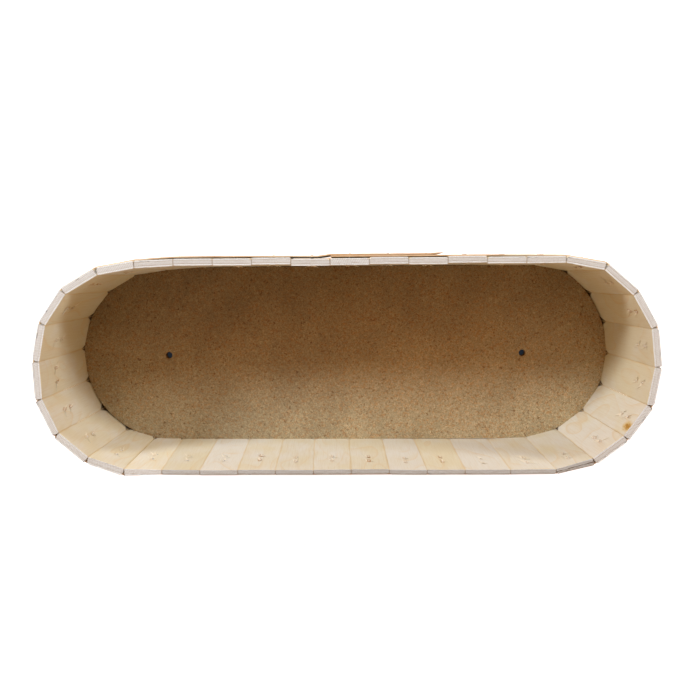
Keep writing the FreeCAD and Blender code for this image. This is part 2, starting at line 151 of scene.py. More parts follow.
class StaveSettings(PropertyGroup):
    veneer: length("Veneer", "Thickness of each face veneer", 1.0 * MM)
    seam: length("Seam", "How far each upright side is drawn out to touch the next stave", 0.05 * MM)
    outer_arris: length("Outer arris", "How far the outer upright edges are rounded", 0.8 * MM)
    inner_arris: length("Inner arris", "How far the inner upright edges are rounded", 0.12 * MM)
    end_arris: length("End arris", "How far the edges of the sawn ends are worn", 0.22 * MM)
    chip: length("Chip", "How much of a top corner is broken off at most", 1.3 * MM)
    glue_groove: length("Glue groove", "How deep the glue lines lie in the sawn ends", 0.10 * MM)
    end_tear: length("End tear", "How rough the saw left the ends", 0.16 * MM)
    cup: length("Cup", "How far a stave's inner face is from flat", 0.06 * MM)
    splinter: length("Splinter", "Length of the wood that a staple's tip tears up", 6.4 * MM)
    # Painted shade: makes the whole front wall's wood darker than the rest of the ring.
    front_painted_shade: share("Front tone", "How bright the front wall's wood is beside the rest", 0.91)
    # Painted shade: makes the front wall's sawn ends darker than the ends of the other staves.
    front_end_painted_shade: share("Front end tone", "How bright the front wall's sawn ends are beside the rest", 0.86)
    face: colour("Face", "Colour of the face veneers", (0.675, 0.635, 0.475))
    pale: colour("Pale", "Colour of the palest face veneers", (0.70, 0.70, 0.64))
    figure: colour("Figure", "Colour of the growth rings in the veneer", (0.66, 0.50, 0.26))
    core: colour("Core", "Colour of the core ply", (0.44, 0.46, 0.455))
    end: colour("End", "Colour of the sawn ends", (0.735, 0.85, 0.93))
    glue: colour("Glue", "Colour of the glue lines", (0.33, 0.29, 0.24))
    # Painted shade: the colour of the depth of a split end.
    painted_crack_shade: colour("Crack", "Colour in the depth of a split end", (0.10, 0.06, 0.03))
    # Painted shade: the near-black colour of the depth of a broken corner.
    painted_notch_shade: colour("Notch", "Colour in the depth of a broken corner", (0.05, 0.055, 0.07))
    joint: colour("Joint", "Colour of the sawn ends beside a seam", (0.30, 0.25, 0.19))
    # Painted shade: the colour put where a seam gapes above the floor.
    gap: colour("Gap", "Colour where a seam gapes above the floor", (0.05, 0.035, 0.02))
    torn: colour("Torn", "Colour of fresh splinters", (0.84, 0.79, 0.66))
    stain: colour("Stain", "Colour of the wood round a staple's tip", (0.40, 0.19, 0.05))
    halo: colour("Halo", "Colour of the wood round a pitch pocket", (0.62, 0.44, 0.13))
    pitch: colour("Pitch", "Colour of a pitch pocket", (0.42, 0.22, 0.04))
    brink_dark: colour("Soil", "Colour of the front wall's outer brink", (0.36, 0.33, 0.28))


class BoardSettings(PropertyGroup):
    edge: length("Edge", "How far the sawn edge of the board is worn", 0.25 * MM)
    waver: length("Waver", "How far the sawn outline wavers", 0.10 * MM)
    overlap: length("Overlap", "How far the board reaches out at its back right corner", 3.0 * MM)
    yielding: share("Yielding", "How much of the walls' way in the board's edge goes along", 0.3)
    ground: colour("Ground", "Colour of the fibreboard", (0.325, 0.265, 0.17))
    fibre: colour("Fibre", "Colour of the pale fibres", (0.48, 0.405, 0.26))
    rust: colour("Rust", "Colour of the reddish fibres", (0.36, 0.17, 0.06))
    bark: colour("Bark", "Colour of the dark specks", (0.17, 0.10, 0.05))
    # Painted light: the colour that the lit front of the board is multiplied by; the description's bleaching
    # is not its cause.
    front_painted_light_tint: colour("Bleach", "What is left of each colour where the board is bleached", (0.90, 0.965, 1.0))


class BandSettings(PropertyGroup):
    edge: length("Edge", "How far the band's edges are worn", 0.18 * MM)
    waver: length("Waver", "How far the band's surface wavers", 0.12 * MM)
    slack: length("Slack", "How far the band stands off the staves beside its lap", 0.3 * MM)
    wood: colour("Wood", "Colour of the bent wood", (0.72, 0.645, 0.52))
    grain: colour("Grain", "Colour of its long grain", (0.46, 0.265, 0.115))


class StapleSettings(PropertyGroup):
    round_off: length("Round-off", "How far the edges of the flat wire are rounded", 0.16 * MM)
    wire: colour("Wire", "Colour of the staple wire", (0.48, 0.47, 0.45))
    tarnish: colour("Tarnish", "Colour of its dull patches", (0.24, 0.20, 0.16))


class StageSettings(PropertyGroup):
    left_power: power("Left", "Light from back left", 14.4)
    right_power: power("Right", "Light from back right", 12.0)
    back_power: power("Back", "Light from the back", 6.9)
    fill_power: power("Fill", "Low light from the front", 3.0)
    ambient: share("Ambient", "Strength of the light from all round", 0.44)
    ambient_tint: colour("Ambient tint", "Colour of the light from all round", (1.0, 0.43, 0.10))
    glow: colour("Glow", "What lifts the paper to white", (0.80, 0.86, 0.93))
    # Painted light: dim glows that the paper shows under the tub, through the drain holes and at the board's
    # edge.
    painted_hole_glow: colour("Hole glow", "What the paper shows through the drain holes", (0.014, 0.018, 0.024))
    painted_gap_glow: colour("Gap glow", "What the paper shows at the board's edge", (0.006, 0.004, 0.003))


class Finish:
    """A material in the making. Each call adds nodes and gives their output."""

    def __init__(self, name):
        self.material = bpy.data.materials.new(name)
        self.material.use_nodes = True
        self.tree = self.material.node_tree
        self.shader = self.tree.nodes["Principled BSDF"]

    def feed(self, socket, value):
        if isinstance(value, bpy.types.NodeSocket):
            self.tree.links.new(value, socket)
        elif value is not None:
            socket.default_value = value

    def node(self, kind, **settings):
        node = self.tree.nodes.new(f"ShaderNode{kind}")
        for name, value in settings.items():
            setattr(node, name, value)
        return node

    def math(self, operation, *values):
        node = self.node("Math", operation=operation)
        for socket, value in zip(node.inputs, values):
            self.feed(socket, value)
        return node.outputs[0]

    def product(self, first, *others):
        for other in others:
            first = self.math("MULTIPLY", first, other)
        return first

    def total(self, one, two):
        return self.math("ADD", one, two)

    def less(self, one, two):
        return self.math("SUBTRACT", one, two)

    def size(self, value):
        return self.math("ABSOLUTE", value)

    def swing(self, field, amount):
        """A field that lies about a half, brought about zero."""
        return self.product(self.less(field, 0.5), amount)

    def vector(self, operation, one, two=None, scale=None):
        node = self.node("VectorMath", operation=operation)
        self.feed(node.inputs[0], one)
        self.feed(node.inputs[1], two)
        self.feed(node.inputs[3], scale)
        return node.outputs["Value" if operation == "LENGTH" else "Vector"]

    def split(self, vector):
        node = self.node("SeparateXYZ")
        self.feed(node.inputs[0], vector)
        return node.outputs

    def join(self, x, y, z):
        node = self.node("CombineXYZ")
        for socket, value in zip(node.inputs, (x, y, z)):
            self.feed(socket, value)
        return node.outputs[0]

    def own(self, name, output="Fac"):
        """A value that the piece itself carries."""
        return self.node("Attribute", attribute_type="OBJECT", attribute_name=name).outputs[output]

    def of_mesh(self, name, output="Fac"):
        """A value that the mesh carries at each of its vertices."""
        return self.node("Attribute", attribute_type="GEOMETRY", attribute_name=name).outputs[output]

    def millimetres(self):
        """The place on the piece, in its own millimetres."""
        return self.vector("SCALE", self.node("TexCoord").outputs["Object"], scale=1 / MM)

    def noise(self, place, stretch, detail=2.0, rough=0.5, warp=0.0, shift=None):
        """Noise whose scale along each axis is given in features per millimetre."""
        if shift is not None:
            place = self.vector("ADD", place, shift)
        node = self.node("TexNoise")
        self.feed(node.inputs["Vector"], self.vector("MULTIPLY", place, stretch))
        for name, value in (("Scale", 1), ("Detail", detail), ("Roughness", rough), ("Distortion", warp)):
            node.inputs[name].default_value = value
        return node.outputs["Fac"]

    def span(self, value, low, high, start=0.0, end=1.0):
        """A smooth step from start to end as the value goes from low to high."""
        node = self.node("MapRange", interpolation_type="SMOOTHSTEP")
        for socket, given in zip(node.inputs, (value, low, high, start, end)):
            self.feed(socket, given)
        return node.outputs[0]

    def mix(self, factor, one, two, blend="MIX"):
        node = self.node("Mix", data_type="RGBA", blend_type=blend, clamp_factor=True)
        self.feed(node.inputs[0], factor)
        for socket, value in ((node.inputs[6], one), (node.inputs[7], two)):
            self.feed(socket, value if isinstance(value, bpy.types.NodeSocket) else (*value, 1.0))
        return node.outputs[2]

    def blend(self, factor, one, two):
        """A number between two others."""
        node = self.node("Mix", data_type="FLOAT")
        for index, value in ((0, factor), (2, one), (3, two)):
            self.feed(node.inputs[index], value)
        return node.outputs[0]

    def shade(self, colour_in, amount):
        """The colour made lighter or darker by a factor."""
        return self.vector("SCALE", colour_in, scale=amount)

    def surface(self, base, roughness, height, distance, gloss):
        """Wire up the shader. The height is in shares of the distance, in metres."""
        bump = self.node("Bump")
        bump.inputs["Distance"].default_value = distance
        self.feed(bump.inputs["Height"], height)
        self.feed(self.shader.inputs["Base Color"], base)
        self.feed(self.shader.inputs["Roughness"], roughness)
        self.feed(self.shader.inputs["Normal"], bump.outputs[0])
        self.shader.inputs["Specular IOR Level"].default_value = gloss
        return self.material


def ripples(make, place, stretch, count, sharpness):
    """Thin lines where a slow field crosses even steps, sharp on one side and soft on the other."""
    field = make.noise(place, stretch, detail=1.2, rough=0.35, warp=0.25)
    steps = make.math("FRACT", make.product(field, count))
    return make.product(make.math("POWER", steps, sharpness), make.span(steps, 0.94, 1.0, 1.0, 0.0))


class Plywood(Finish):
    """Bare three-ply: face grain up the stave, core grain across it, and pale sawn ends.

    Places are in millimetres in the stave's own frame, from before the wall settled.
    """

    def __init__(self, look):
        super().__init__("bare_plywood")
        self.look = look
        self.place = self.of_mesh("spot", "Vector")
        self.across, self.depth, self.height = self.split(self.place)
        shift = self.vector("SCALE", (31.0, 17.0, 53.0), scale=self.own("seed"))
        self.shifted = self.vector("ADD", self.place, shift)
        normal = self.node("VectorTransform", vector_type="NORMAL", convert_from="WORLD", convert_to="OBJECT")
        self.feed(normal.inputs[0], self.node("NewGeometry").outputs["True Normal"])
        facing = self.split(normal.outputs[0])
        self.is_end = self.span(self.size(facing[2]), 0.5, 0.8)
        self.is_face = self.span(self.size(facing[1]), 0.5, 0.8)
        self.to_side = self.math("MINIMUM", self.across, self.less(self.own("width"), self.across))
        self.streaks = self.noise(self.shifted, (1.6, 1.6, 0.06), detail=3.0, rough=0.6)
        self.blotches = self.noise(self.shifted, (0.07, 0.07, 0.045), detail=2.0)
        self.pores = self.noise(self.shifted, (2.2, 2.2, 2.2), detail=4.0, rough=0.7)
        self.fibres = self.noise(self.shifted, (0.25, 3.2, 3.2), detail=3.0, rough=0.65)
        self.tear = self.noise(self.shifted, (0.8, 0.8, 0.5), detail=2.0)
        self.waver = self.swing(self.noise(self.shifted, (0.12, 0.0, 0.12)), 0.35)
        self.combed = self.own("combed")
        slant = self.total(self.across, self.product(self.depth, 0.45))
        self.comb = self.product(self.math("SINE", self.product(slant, 5.6)), self.combed)

    def rings(self):
        """A few thin growth rings, strong in some places and faint in others."""
        stretch = (0.030, 0.0, 0.0115)
        thin = ripples(self, self.shifted, stretch, 9.0, 10.0)
        soft = ripples(self, self.shifted, stretch, 9.0, 2.5)
        strength = self.noise(self.shifted, (0.05, 0.0, 0.02), detail=1.0)
        lines = self.total(self.product(thin, 0.5), self.product(soft, 0.16))
        return self.product(lines, self.span(strength, 0.35, 0.62, 0.10, 1.0))

    def veneer(self, rings):
        """The face: rings, long streaks and a slow drift between pale and tan."""
        look = self.look
        paleness = self.total(self.own("pale"), self.swing(self.blotches, 1.6))
        face = self.mix(self.span(paleness, 0.0, 1.0), look.face, look.pale)
        face = self.mix(self.span(self.streaks, 0.45, 0.75, 0.0, 0.22), face, look.figure)
        face = self.mix(rings, face, look.figure)
        return self.shade(face, self.span(self.streaks, 0.2, 0.8, 1.02, 0.975))

    def sawn(self, face):
        """The sides, where the core ply shows, and the sawn ends, speckled with pores, lined with glue and
        with painted shade along a split.
        """
        look = self.look
        core = self.shade(look.core, self.span(self.fibres, 0.2, 0.8, 0.82, 1.14))
        veneer = look.veneer / MM
        off_middle = self.size(self.less(self.total(self.size(self.depth), self.waver), 2 * veneer))
        in_core = self.span(off_middle, veneer - 0.08, veneer + 0.08, 1.0, 0.0)
        glue = self.span(self.size(self.less(off_middle, veneer)), 0.05, 0.20, 1.0, 0.0)

        end = self.mix(self.product(in_core, self.own("core_shown")), look.end, core)
        speckle = self.total(self.span(self.pores, 0.25, 0.7, 0.84, 1.09), self.product(self.comb, 0.09))
        end = self.shade(end, speckle)
        end = self.mix(self.product(glue, self.less(0.65, self.product(self.combed, 0.35))), end, look.glue)
        # Painted shade on the front wall's sawn ends.
        end = self.shade(end, self.own("end_painted_shade"))
        # Painted shade along the glue line where a split end has come apart.
        off_crack = self.size(self.total(self.less(self.depth, self.waver), 2.1))
        painted_crack_shade = self.product(self.span(off_crack, 0.1, 0.5, 0.9, 0.0), self.own("split"))
        end = self.mix(self.product(painted_crack_shade, self.span(self.fibres, 0.35, 0.5)), end, look.painted_crack_shade)
        return self.mix(in_core, face, core), end

    def at_the_seams(self, base):
        """Painted shade in broken outer corners, dark lines on the ends, painted shade in the gaps above the
        floor, and yellowed upright edges.
        """
        look = self.look
        outside = self.less(self.size(self.depth), 1.6)
        # Painted shade in the depth of the broken outer corners, on the sawn ends.
        painted_notch_shade = self.less(self.product(outside, self.own("painted_notch_shade"), 0.32), self.to_side)
        painted_notch_shade = self.total(painted_notch_shade, self.swing(self.pores, 0.8))
        base = self.mix(self.product(self.span(painted_notch_shade, 0.0, 0.25, 0.0, 0.92), self.is_end), base, look.painted_notch_shade)
        beside = self.product(self.span(self.to_side, 0.18, 0.5, 0.6, 0.0), self.is_end)
        base = self.mix(beside, base, look.joint)
        # Painted shade: a dark wedge low on the face beside each seam, where the gap above the floor lies in
        # shade.
        low = self.span(self.total(self.height, self.product(self.to_side, 2.2)), 13.5, 16.5, 0.85, 0.0)
        base = self.mix(self.product(low, self.is_face, self.own("painted_gap_shade_amount")), base, look.gap)
        ragged = self.total(self.to_side, self.swing(self.blotches, 1.6))
        yellowed = self.product(self.span(ragged, 0.0, 0.9, 0.55, 0.0), self.is_face)
        return self.mix(yellowed, base, look.figure)

    def away_from(self, name, stretch, raggedness):
        """How far a place is from a point that the piece carries, less in some places than in others."""
        offset = self.vector("SUBTRACT", self.place, self.own(name, "Vector"))
        away = self.vector("LENGTH", self.vector("MULTIPLY", offset, stretch))
        return self.less(away, self.product(self.tear, raggedness))

    def at_the_staple(self, base):
        """Stained round the staple's two tips, and fresh where they tore the wood."""
        near = [
            self.span(self.away_from(tip, (1.0, 0.35, 0.42), 2.6), -0.35, 0.35, 1.0, 0.0)
            for tip in ("tip_low", "tip_high")
        ]
        stained = self.product(self.math("MAXIMUM", *near), self.own("stain"), self.is_face)
        base = self.mix(stained, base, self.look.stain)
        return self.mix(self.product(self.of_mesh("torn"), 0.85), base, self.look.torn)

    def with_pitch(self, base):
        """A pitch pocket with a yellow halo, on a stave that has one."""
        away = self.away_from("pocket", (0.30, 0.2, 0.17), 1.1)
        halo = self.product(self.span(away, 0.1, 0.9, 0.75, 0.0), self.is_face)
        base = self.mix(halo, base, self.look.halo)
        pitch = self.product(self.span(away, -0.25, 0.30, 0.95, 0.0), self.is_face)
        return self.mix(pitch, base, self.look.pitch)

    def darker_brink(self, base):
        """Darker along the outer brink, by as much as the stave's ends carry painted shade."""
        brink = self.product(self.span(self.height, 88.4, 89.0), self.span(self.depth, -3.4, -3.0, 1.0, 0.0))
        amount = self.span(self.own("end_painted_shade"), self.look.front_end_painted_shade, 1.0, 0.75, 0.0)
        return self.mix(self.product(brink, amount), base, self.look.brink_dark)

    def build(self):
        rings = self.rings()
        face = self.veneer(rings)
        side, end = self.sawn(face)
        base = self.mix(self.is_end, self.mix(self.is_face, side, face), end)
        for layer in (self.at_the_seams, self.at_the_staple, self.with_pitch, self.darker_brink):
            base = layer(base)
        # tone: a small random change of brightness from stave to stave; on the front wall it also carries
        # painted shade.
        base = self.shade(base, self.own("tone"))
        face_relief = self.total(self.product(self.streaks, 0.35), self.product(rings, -0.2))
        end_relief = self.total(self.pores, self.product(self.comb, 0.35))
        relief = self.blend(self.is_end, face_relief, end_relief)
        return self.surface(base, self.span(self.streaks, 0.2, 0.8, 0.62, 0.82), relief, 0.12 * MM, gloss=0.2)


def fibreboard(look):
    """Brown fibreboard: matted pale, reddish and dark fibres, with a slow drift of tone, painted shade
    towards the back and left, and painted light towards the front and right.
    """
    make = Finish("brown_fibreboard")
    place = make.millimetres()
    mat = make.noise(place, (1.15, 1.15, 1.15), detail=3.0, rough=0.7, warp=0.2)
    fine = make.noise(place, (2.2, 2.2, 2.2), detail=3.0, rough=0.6)
    drift = make.noise(place, (0.03, 0.03, 0.03), detail=3.0)
    flecks = make.noise(place, (0.9, 0.6, 0.9), detail=2.0, warp=1.0, shift=(91.0, 7.0, 3.0))
    rusty = make.noise(place, (0.5, 0.65, 0.5), detail=2.0, warp=0.8, shift=(47.0, 23.0, 3.0))
    specks = make.noise(place, (0.55, 0.55, 0.55), detail=1.5, warp=0.8, shift=(13.0, 57.0, 3.0))
    base = make.mix(make.span(rusty, 0.45, 0.68, 0.0, 0.55), look.ground, look.rust)
    base = make.mix(make.span(flecks, 0.46, 0.68, 0.0, 0.6), base, look.fibre)
    base = make.shade(base, make.span(mat, 0.28, 0.72, 0.72, 1.28))
    base = make.mix(make.span(specks, 0.62, 0.70, 0.0, 0.85), base, look.bark)
    base = make.shade(base, make.span(fine, 0.2, 0.8, 0.80, 1.20))
    base = make.shade(base, make.span(drift, 0.3, 0.7, 0.92, 1.08))
    x, y, _ = make.split(place)
    # Painted shade: darker towards the back, under the back wall, and lighter towards the front.
    base = make.shade(base, make.span(y, -60.0, 60.0, 1.32, 0.80))
    # Painted shade on the left and painted light on the right.
    base = make.shade(base, make.span(x, -130.0, 130.0, 0.91, 1.15))
    # Painted light: a cooler tint at the front of the board, where the lamps fall.
    base = make.mix(make.span(y, -55.0, 20.0, 1.0, 0.0), base, look.front_painted_light_tint, blend="MULTIPLY")
    relief = make.total(mat, make.product(fine, 0.5))
    return make.surface(base, make.span(mat, 0.2, 0.8, 0.58, 0.74), relief, 0.12 * MM, gloss=0.2)


def bent_wood(look):
    """Thin wood bent round the tub, so its grain runs level whichever way the band faces."""
    make = Finish("bent_wood")
    place = make.millimetres()
    long_grain = make.noise(place, (0.02, 0.02, 1.1), detail=4.0, rough=0.6, warp=0.15)
    edge_grain = make.noise(place, (0.05, 1.6, 0.3), detail=3.0, rough=0.6)
    fine = make.noise(place, (0.10, 0.10, 4.5), detail=2.0)
    drift = make.noise(place, (0.022, 0.03, 0.05), detail=2.0)
    grainy = make.product(make.span(long_grain, 0.42, 0.68, 0.0, 0.6), make.span(drift, 0.35, 0.6, 0.35, 1.0))
    x, y, _ = make.split(place)
    lapped = make.product(make.span(x, -25.0, -5.0), make.span(x, 95.0, 115.0, 1.0, 0.0))
    lapped = make.product(lapped, make.span(y, 40.0, 60.0, 0.0, 0.6))
    base = make.mix(make.math("MAXIMUM", grainy, lapped), look.wood, look.grain)
    base = make.mix(make.span(edge_grain, 0.45, 0.7, 0.0, 0.2), base, look.grain)
    base = make.shade(base, make.span(fine, 0.2, 0.8, 0.90, 1.10))
    base = make.shade(base, make.span(drift, 0.3, 0.7, 1.08, 0.90))
    relief = make.total(long_grain, make.product(fine, 0.4))
    return make.surface(base, make.span(fine, 0.2, 0.8, 0.58, 0.75), relief, 0.10 * MM, gloss=0.25)


def staple_wire(look):
    """Plain drawn wire, dull in patches and scored along its length."""
    make = Finish("drawn_wire")
    place = make.millimetres()
    patches = make.noise(place, (0.5, 0.5, 0.5), detail=3.0, rough=0.6)
    scores = make.noise(place, (2.0, 2.0, 6.0), detail=2.0)
    base = make.mix(make.span(patches, 0.45, 0.7, 0.0, 0.8), look.wire, look.tarnish)
    make.shader.inputs["Metallic"].default_value = 1.0
    return make.surface(base, make.span(patches, 0.3, 0.75, 0.38, 0.62), scores, 0.03 * MM, gloss=0.5)


def link(name, mesh, place=None):
    """An object for the mesh, in the scene."""
    piece = bpy.data.objects.new(name, mesh)
    bpy.context.scene.collection.objects.link(piece)
    if place is not None:
        piece.matrix_world = place
    return piece


def dress(name, mesh, finish, node, place=None):
    """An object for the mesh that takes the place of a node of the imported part."""
    mesh.materials.clear()
    mesh.materials.append(finish)
    piece = link(name, mesh, place)
    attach(piece, "root")
    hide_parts(node)
    return piece


def smooth_by_angle(mesh, degrees):
    """Shade smooth, apart from the edges that turn more than this."""
    mesh.shade_smooth()
    mesh.set_sharp_from_angle(angle=math.radians(degrees))


def node_points(*names):
    """Where the vertices of some nodes are."""
    return [vertex.co.copy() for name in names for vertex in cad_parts[name].data.vertices]


def within_cad_box(point):
    """The point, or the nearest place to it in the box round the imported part."""
    return Vector([max(low, min(high, part)) for low, high, part in zip(*cad_bounds, point)])


def top_outlines(name):
    """The outlines of a node's level top face, as lists of places, with the face on their left."""
    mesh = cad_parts[name].data
    top = max(vertex.co.z for vertex in mesh.vertices)
    spans = set()
    for polygon in mesh.polygons:
        corners = [mesh.vertices[index].co for index in polygon.vertices]
        if min(corner.z for corner in corners) > top - SAME:
            keys = [(round(corner.x / SAME), round(corner.y / SAME)) for corner in corners]
            spans.update(zip(keys, keys[1:] + keys[:1]))
    following = {one: two for one, two in spans if (two, one) not in spans}
    outlines = []
    while following:
        start, place = following.popitem()
        outline = [start]
        while place != start:
            outline.append(place)
            place = following.pop(place)
        outlines.append([Vector((x * SAME, y * SAME, 0)) for x, y in outline])
    return outlines


def with_short_spans(outline, longest):
    """The outline with places added so that no span is longer than this."""
    places = []
    for one, two in zip(outline, outline[1:] + outline[:1]):
        count = max(1, math.ceil((two - one).length / longest))
        places += [one.lerp(two, index / count) for index in range(count)]
    return places


def ways_in(outline):
    """At each place of the outline, the way to its left that sets both spans back by the same amount."""
    ways = []
    for before, place, after in zip(outline[-1:] + outline[:-1], outline, outline[1:] + outline[:1]):
        sides = [Vector((-step.y, step.x, 0)).normalized() for step in (place - before, after - place)]
        both = sides[0] + sides[1]
        ways.append(both * (2 / max(both.length_squared, 1.0)))
    return ways


def worn_slab(name, edge, waver, pitch):
    """A node that is a level slab, with worn edges and sides that waver, but never beyond its outlines."""
    heights = [point.z for point in node_points(name)]
    low, high = min(heights), max(heights)
    middle = max(1, round((high - low) / (2 * pitch)))
    levels = [(low, edge), (low + 0.3 * edge, 0.3 * edge), (low + edge, 0.0)]
    levels += [(low + (high - low) * index / (middle + 1), 0.0) for index in range(1, middle + 1)]
    levels += [(low + high - level, inset) for level, inset in reversed(levels[:3])]

    def worn(place, way, level, inset):
        there = (place + Vector((0, 0, level))) / MM
        back = inset * (1 + 0.5 * noise.noise(there * 0.31)) + waver * abs(noise.noise(there * 0.27766887))
        drop = waver * abs(noise.noise(there * 0.07)) if level == high else 0.0
        return place + way * back + Vector((0, 0, level - drop))

    mesh = bmesh.new()
    rims = {low: [], high: []}
    for outline in top_outlines(name):
        places = with_short_spans(outline, pitch)
        ways = ways_in(places)
        loops = [
            [mesh.verts.new(worn(place, way, level, inset)) for place, way in zip(places, ways)]
            for level, inset in levels
        ]
        for below, above in zip(loops, loops[1:]):
            for index in range(len(places)):
                after = (index + 1) % len(places)
                mesh.faces.new((below[index], below[after], above[after], above[index]))
        for level, loop in ((low, loops[0]), (high, loops[-1])):
            rims[level] += [mesh.edges.get((one, two)) for one, two in zip(loop, loop[1:] + loop[:1])]
    for rim in rims.values():
        bmesh.ops.triangle_fill(mesh, edges=rim, use_beauty=True)
    bmesh.ops.recalc_face_normals(mesh, faces=mesh.faces)
    return finished(mesh, f"{name}_slab", 35)


def finished(mesh, name, sharp_degrees):
    """The mesh that has been built, made ready for an object."""
    made = bpy.data.meshes.new(name)
    mesh.to_mesh(made)
    mesh.free()
    smooth_by_angle(made, sharp_degrees)
    return made


def rounded_wire(name, round_off):
    """A node's wire with its edges rounded off, as drawn wire has them."""
    mesh = bmesh.new()
    mesh.from_mesh(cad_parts[name].data)
    bmesh.ops.remove_doubles(mesh, verts=mesh.verts, dist=SAME)
    bmesh.ops.dissolve_limit(mesh, angle_limit=math.radians(1), verts=mesh.verts, edges=mesh.edges)
    sharp = [edge for edge in mesh.edges if edge.calc_face_angle(0) > math.radians(20)]
    bmesh.ops.bevel(
        mesh, geom=sharp, offset=round_off, offset_type="OFFSET", segments=2, profile=0.5, affect="EDGES",
        clamp_overlap=True,
    )
    return finished(mesh, f"{name}_wire", 50)


class StavePlace:
    """A stave's own frame, read from its node: across it, inward and up, from its inner foot corner."""

    def __init__(self, name, staple_points):
        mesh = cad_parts[name].data
        areas = {}
        for polygon in mesh.polygons:
            way = tuple(round(part, 3) for part in polygon.normal)
            areas[way] = areas.get(way, 0.0) + polygon.area
        inward = Vector(max(areas, key=areas.get)).normalized()
        across = Vector((0, 0, 1)).cross(-inward).normalized()
        up = across.cross(inward)
        axes = Matrix((across, inward, up))
        points = [axes @ vertex.co for vertex in mesh.vertices]
        low, high = ([pick(point[axis] for point in points) for axis in range(3)] for pick in (min, max))
        self.width, self.thickness, self.height = (top - foot for foot, top in zip(low, high))
        corner = Vector((low[0], high[1], low[2]))
        self.matrix = Matrix.Translation(axes.transposed() @ corner) @ axes.transposed().to_4x4()
        self.back = self.matrix.inverted()
        self.tips = self.find_tips(staple_points)

    def find_tips(self, staple_points):
        """Where the tips of the stave's upper staple come through, in its own frame."""
        through = []
        for point in staple_points:
            local = self.back @ point
            if 0 < local.x < self.width and abs(local.y) < self.thickness:
                through.append(local)
        crest = max(point.y for point in through)
        ends = [point for point in through if crest - point.y < 0.1 * MM]
        middle = sum(ends, Vector()) / len(ends)
        spread = 0 if max(abs(end.x - middle.x) for end in ends) > 3 * MM else 2
        low_side = [end for end in ends if end[spread] <= middle[spread]]
        high_side = [end for end in ends if end[spread] > middle[spread]]
        return [sum(side, Vector()) / len(side) for side in (low_side, high_side)]


class Ring:
    """All the staves' places, and how far their walls have settled."""

    def __init__(self):
        staple_points = node_points(*UPPER_STAPLE_NODES)
        self.places = [StavePlace(name, staple_points) for name in STAVE_NODES]
        board = node_points("base_board")
        self.reach = max(point.y for point in board)
        self.half = max(point.x for point in board) - self.reach
        self.moves = []
        for number, place in enumerate(self.places, 1):
            way = self.to_axis(place.matrix.translation).normalized() * MM
            foot, rim = SETTLED.get(number, (0.0, 0.0))
            self.moves.append([way * foot, way * rim, way * (rim - rim_spread(number))])

    def to_axis(self, point):
        """The level way from a point to the line between the ends' centres."""
        return Vector((max(-self.half, min(self.half, point.x)) - point.x, -point.y, 0.0))

    def at_the_wall(self, point):
        return self.to_axis(point).length >= BESIDE_THE_WALL * self.reach

    def nearest(self, point):
        """The index of the stave that a point is nearest."""
        past = []
        for place in self.places:
            spot = place.back @ point
            past.append(max(-spot.x, spot.x - place.width, 0.0) + abs(spot.y))
        return past.index(min(past))

    def settled(self, point, index=None):
        """Where a point of the tub has got to, going along with a stave or with the one that is nearest."""
        if not self.at_the_wall(point):
            return point
        if index is None:
            index = self.nearest(point)
        place = self.places[index]
        spot = place.back @ point
        shares = (spot.x / place.width, -spot.y / place.thickness, point.z / place.height)
        part, out, up = (min(1.0, max(0.0, each)) for each in shares)
        seams = self.moves[index], self.moves[(index + 1) % len(self.moves)]
        foot, rim, outer_rim = (one.lerp(two, part) for one, two in zip(*seams))
        return within_cad_box(point + foot.lerp(rim.lerp(outer_rim, out), up))

    def settle(self, mesh, part=1.0):
        """Move a mesh some part of the way along with the walls."""
        for vertex in mesh.vertices:
            vertex.co = vertex.co.lerp(self.settled(vertex.co), part)
        mesh.update()

    def settle_stave(self, mesh, index):
        """Move a stave's mesh, which is in the stave's own frame."""
        place = self.places[index]
        for vertex in mesh.vertices:
            vertex.co = place.back @ self.settled(place.matrix @ vertex.co, index)
        mesh.update()


def spread(count, margin):
    """Evenly spread shares of a length, from one margin to the other."""
    return [margin + (1 - 2 * margin) * index / (count - 1) for index in range(count)]


def half_round(radius, count):
    """The outer half of a quarter round, from its middle to the straight: along, and set back."""
    places = []
    for index in range(count):
        angle = math.pi / 4 * (1 - index / (count - 1))
        places.append((radius * (1 - math.sin(angle)), radius * (1 - math.cos(angle))))
    return places


def rounded_side(reach, first, last, between):
    """A side from the middle of one rounded corner to the middle of the next: along, and set back."""
    start = half_round(first, 3)
    end = [(reach - along, back) for along, back in reversed(half_round(last, 3))]
    return start + [(along, 0.0) for along in between] + end


